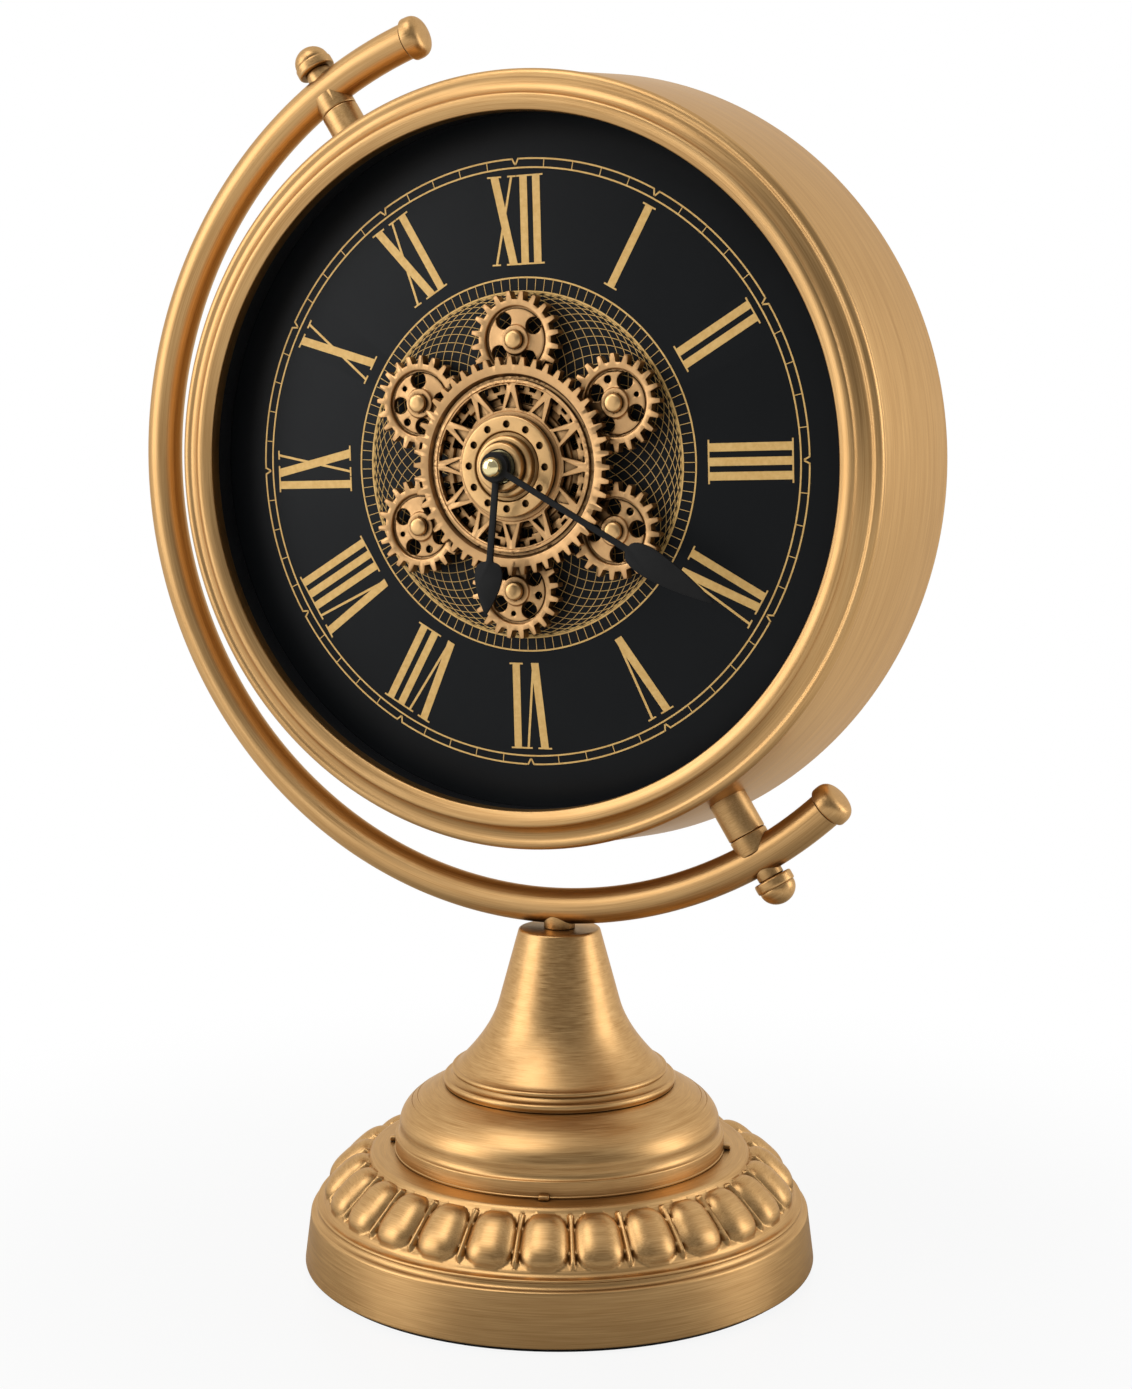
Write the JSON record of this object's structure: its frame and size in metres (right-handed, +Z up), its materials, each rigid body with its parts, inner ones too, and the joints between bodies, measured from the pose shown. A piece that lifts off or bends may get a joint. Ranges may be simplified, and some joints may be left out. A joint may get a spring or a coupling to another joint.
{
  "type": "table clock",
  "caption": "Table clock with a round case and open gears on a black dial, held by two pivots in an arc on a turned, lobed base.",
  "frame": {"origin": "centre of the foot pad's underside, on the table", "axes": "+Z up, -Y towards the viewer of the dial, +X to the viewer's right; the arc lies in the XZ plane"},
  "size_m": [0.2698, 0.1648, 0.396],
  "materials": {
    "antique_gold": "brushed antique gold",
    "bronze_gear": "aged bronze",
    "polished_brass": "polished",
    "black_dial": "satin black",
    "black_hand": "matte black",
    "black_plastic": "fine grain",
    "plain_steel": "plain",
    "cast_iron": "as cast",
    "pad_rubber": "matte",
    "cell_wrap": "plain wrap"
  },
  "bodies": {
    "stand": {"foot_pad": "pad_rubber", "base_rim": "antique_gold", "ballast_plate": "cast_iron", "base_dome": "antique_gold", "neck_cone": "antique_gold", "tie_rod": "plain_steel", "tie_nut": "plain_steel", "tie_washer": "plain_steel", "arc_seat": "antique_gold", "arc_tube": "antique_gold", "arc_anchor": "plain_steel", "upper_end_cap": "antique_gold", "lower_end_cap": "antique_gold", "upper_saddle": "antique_gold", "lower_saddle": "antique_gold", "upper_outer_bush": "antique_gold", "lower_outer_bush": "antique_gold"},
    "case": {"case_drum": "antique_gold", "bezel": "antique_gold", "dial_well": "black_dial", "dial_plate": "black_dial", "upper_stub": "antique_gold", "lower_stub": "antique_gold", "upper_pivot_bolt": "plain_steel", "lower_pivot_bolt": "plain_steel", "upper_acorn_nut": "antique_gold", "lower_acorn_nut": "antique_gold", "back_cover": "black_plastic", "cover_screw_1": "plain_steel", "cover_screw_2": "plain_steel", "cover_screw_3": "plain_steel", "battery_tray": "black_plastic", "gear_battery_upper": "cell_wrap", "gear_battery_lower": "cell_wrap", "switch_body": "black_plastic", "gear_bridge": "plain_steel", "gear_box": "black_plastic", "gear_motor": "plain_steel", "clock_movement": "black_plastic", "centre_bush": "polished_brass", "clock_battery": "cell_wrap"},
    "main_gear": {"front_gear": "bronze_gear", "gear_flange": "bronze_gear", "rear_gear": "bronze_gear", "gear_tube": "polished_brass", "drive_wheel": "polished_brass"},
    "motor_pinion": {"motor_pinion": "polished_brass"},
    "planet_1": {"planet_gear_1": "bronze_gear"},
    "planet_2": {"planet_gear_2": "bronze_gear"},
    "planet_3": {"planet_gear_3": "bronze_gear"},
    "planet_4": {"planet_gear_4": "bronze_gear"},
    "planet_5": {"planet_gear_5": "bronze_gear"},
    "planet_6": {"planet_gear_6": "bronze_gear"},
    "minute_hand": {"minute_hand": "black_hand", "cap_nut": "polished_brass"},
    "hour_hand": {"hour_hand": "black_hand"},
    "set_knob": {"set_knob": "black_plastic"},
    "battery_door": {"battery_door": "black_plastic"},
    "switch_slider": {"switch_slider": "plain_steel"}
  },
  "joints": [
    {"name": "case_tilt", "type": "hinge", "parent": "stand", "child": "case", "pos_m": [-0.007, 0, 0.25633], "axis": [-0.5329, 0, 0.8462], "continuous": true},
    {"name": "main_gear_spin", "type": "hinge", "parent": "case", "child": "main_gear", "pos_m": [-0.007, 0, 0.25633], "axis": [0, 1, 0], "continuous": true},
    {"name": "motor_pinion_spin", "type": "hinge", "parent": "case", "child": "motor_pinion", "pos_m": [-0.007, 0, 0.27733], "axis": [0, 1, 0], "continuous": true},
    {"name": "planet_1_spin", "type": "hinge", "parent": "case", "child": "planet_1", "pos_m": [-0.007, 0, 0.29483], "axis": [0, 1, 0], "continuous": true},
    {"name": "planet_2_spin", "type": "hinge", "parent": "case", "child": "planet_2", "pos_m": [0.02634, 0, 0.27558], "axis": [0, 1, 0], "continuous": true},
    {"name": "planet_3_spin", "type": "hinge", "parent": "case", "child": "planet_3", "pos_m": [0.02634, 0, 0.23708], "axis": [0, 1, 0], "continuous": true},
    {"name": "planet_4_spin", "type": "hinge", "parent": "case", "child": "planet_4", "pos_m": [-0.007, 0, 0.21783], "axis": [0, 1, 0], "continuous": true},
    {"name": "planet_5_spin", "type": "hinge", "parent": "case", "child": "planet_5", "pos_m": [-0.04034, 0, 0.23708], "axis": [0, 1, 0], "continuous": true},
    {"name": "planet_6_spin", "type": "hinge", "parent": "case", "child": "planet_6", "pos_m": [-0.04034, 0, 0.27558], "axis": [0, 1, 0], "continuous": true},
    {"name": "minute_hand_turn", "type": "hinge", "parent": "case", "child": "minute_hand", "pos_m": [-0.007, 0, 0.25633], "axis": [0, 1, 0], "continuous": true},
    {"name": "hour_hand_turn", "type": "hinge", "parent": "case", "child": "hour_hand", "pos_m": [-0.007, 0, 0.25633], "axis": [0, 1, 0], "continuous": true},
    {"name": "set_knob_turn", "type": "hinge", "parent": "case", "child": "set_knob", "pos_m": [0.005, 0, 0.24233], "axis": [0, 1, 0], "continuous": true},
    {"name": "battery_door_slide", "type": "slide", "parent": "case", "child": "battery_door", "axis": [1, 0, 0], "range_m": [0, 0.058]},
    {"name": "switch_slide", "type": "slide", "parent": "case", "child": "switch_slider", "axis": [0, 0, 1], "range_m": [0, 0.004]}
  ],
  "couplings": [
    {"joint": "motor_pinion_spin", "follows": "main_gear_spin", "ratio": -3},
    {"joint": "planet_1_spin", "follows": "main_gear_spin", "ratio": -1.8},
    {"joint": "planet_2_spin", "follows": "main_gear_spin", "ratio": -1.8},
    {"joint": "planet_3_spin", "follows": "main_gear_spin", "ratio": -1.8},
    {"joint": "planet_4_spin", "follows": "main_gear_spin", "ratio": -1.8},
    {"joint": "planet_5_spin", "follows": "main_gear_spin", "ratio": -1.8},
    {"joint": "planet_6_spin", "follows": "main_gear_spin", "ratio": -1.8},
    {"joint": "hour_hand_turn", "follows": "minute_hand_turn", "ratio": 0.083333},
    {"joint": "set_knob_turn", "follows": "minute_hand_turn", "ratio": -1}
  ]
}
